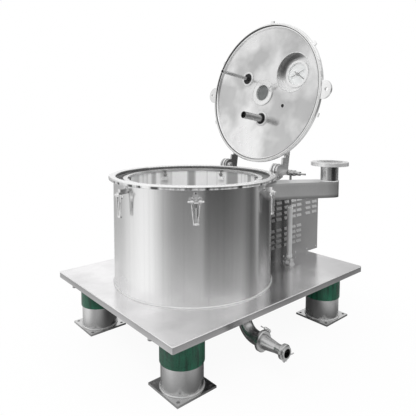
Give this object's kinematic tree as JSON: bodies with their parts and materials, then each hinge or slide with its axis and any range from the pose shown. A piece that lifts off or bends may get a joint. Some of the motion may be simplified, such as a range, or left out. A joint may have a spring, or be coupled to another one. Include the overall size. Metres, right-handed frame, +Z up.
{
  "type": "basket centrifuge",
  "caption": "Basket centrifuge on a legged base plate: open cylindrical casing with a hooked basket, raised lid with sight glasses, louvred motor cover, vent pipe and drain.",
  "frame": {"origin": "middle of the machine's bounding box on the floor, z = 0 at the underside of the feet", "axes": "+Z up; +X from the casing towards the motor cover; +Y from the drain side towards the back"},
  "size_m": [1.7534, 1.468, 2.0771],
  "materials": {
    "stainless_steel": "satin polished stainless steel",
    "polished_steel": "bright polished stainless steel, near mirror",
    "plate_steel": "fine ground stainless steel cladding",
    "leg_steel": "bright turned stainless tube with dull weld beads",
    "green_sleeve": "dark green sleeve, soft sheen",
    "cover_steel": "satin stainless sheet",
    "basket_steel": "satin stainless, drilled wall",
    "lid_steel": "polished stainless plate with soft reflections",
    "latch_steel": "polished stainless wire and strip",
    "arm_steel": "machined stainless bar",
    "chromed_rod": "hard-chromed piston rod",
    "shaft_steel": "ground shaft",
    "cast_housing": "painted casting",
    "guard_paint": "grey painted sheet",
    "white_seal": "pale food-grade silicone seal",
    "sight_glass": "clear toughened glass"
  },
  "bodies": {
    "frame": {"base_plate": "plate_steel", "leg_front_left": "leg_steel", "leg_front_right": "leg_steel", "leg_back_left": "leg_steel", "leg_back_right": "leg_steel", "collar_front_left": "green_sleeve", "collar_front_right": "green_sleeve", "collar_back_left": "green_sleeve", "collar_back_right": "green_sleeve", "casing_wall": "polished_steel", "casing_floor": "polished_steel", "casing_rim": "polished_steel", "bearing_housing": "cast_housing", "belt_guard": "guard_paint", "motor_cover": "cover_steel", "vent_duct": "stainless_steel", "vent_pipe": "stainless_steel", "vent_flange": "stainless_steel", "hinge_bracket_front": "stainless_steel", "hinge_bracket_back": "stainless_steel", "cylinder_foot": "stainless_steel", "latch_bracket_1": "latch_steel", "latch_bracket_2": "latch_steel", "latch_bracket_3": "latch_steel", "latch_bracket_4": "latch_steel", "latch_bracket_5": "latch_steel", "drain_elbow": "stainless_steel", "drain_clamp_large": "stainless_steel", "drain_cone": "stainless_steel", "drain_clamp_small": "stainless_steel"},
    "lid": {"lid_plate": "lid_steel", "lid_ring": "polished_steel", "lid_seal": "white_seal", "lid_arm_front": "arm_steel", "lid_arm_back": "arm_steel", "sight_nozzle": "stainless_steel", "sight_nozzle_glass": "sight_glass", "sight_ring": "stainless_steel", "sight_ring_glass": "sight_glass", "wash_pipe": "stainless_steel", "feed_pipe": "stainless_steel"},
    "basket": {"basket_wall": "basket_steel", "basket_floor": "basket_steel", "basket_lip": "basket_steel", "spindle": "shaft_steel"},
    "cylinder": {"cylinder_body": "stainless_steel"},
    "rod": {"cylinder_rod": "chromed_rod"},
    "latch_1": {"latch_1": "latch_steel"},
    "latch_2": {"latch_2": "latch_steel"},
    "latch_3": {"latch_3": "latch_steel"},
    "latch_4": {"latch_4": "latch_steel"},
    "latch_5": {"latch_5": "latch_steel"}
  },
  "joints": [
    {"name": "lid_hinge", "type": "hinge", "parent": "frame", "child": "lid", "pos_m": [0.30575, 0.095, 1.016], "axis": [0, 1, 0], "range_deg": [-98.5, 0]},
    {"name": "basket_spin", "type": "hinge", "parent": "frame", "child": "basket", "pos_m": [-0.24425, 0.103, 0.4], "axis": [0, 0, 1], "continuous": true},
    {"name": "cylinder_swing", "type": "hinge", "parent": "frame", "child": "cylinder", "pos_m": [0.39501, -0.174, 0.385], "axis": [0, 1, 0], "range_deg": [-6.71, 0.05]},
    {"name": "rod_slide", "type": "slide", "parent": "cylinder", "child": "rod", "axis": [0, 0, 1], "range_m": [0, 0.1145]},
    {"name": "latch_1_hinge", "type": "hinge", "parent": "frame", "child": "latch_1", "pos_m": [-0.01392, 0.59694, 0.941], "axis": [0.9063, -0.4226, 0], "range_deg": [0, 165]},
    {"name": "latch_2_hinge", "type": "hinge", "parent": "frame", "child": "latch_2", "pos_m": [-0.51675, 0.57498, 0.941], "axis": [0.866, 0.5, 0], "range_deg": [0, 165]},
    {"name": "latch_3_hinge", "type": "hinge", "parent": "frame", "child": "latch_3", "pos_m": [-0.78892, 0.08398, 0.941], "axis": [-0.0349, 0.9994, 0], "range_deg": [0, 165]},
    {"name": "latch_4_hinge", "type": "hinge", "parent": "frame", "child": "latch_4", "pos_m": [-0.57603, -0.32938, 0.941], "axis": [-0.7934, 0.6088, 0], "range_deg": [0, 165]},
    {"name": "latch_5_hinge", "type": "hinge", "parent": "frame", "child": "latch_5", "pos_m": [-0.07132, -0.41384, 0.941], "axis": [-0.9483, -0.3173, 0], "range_deg": [0, 165]}
  ],
  "couplings": [
    {"joint": "cylinder_swing", "follows": "lid_hinge", "ratio": 0.06758},
    {"joint": "rod_slide", "follows": "lid_hinge", "m_per_rad": -0.066484}
  ]
}
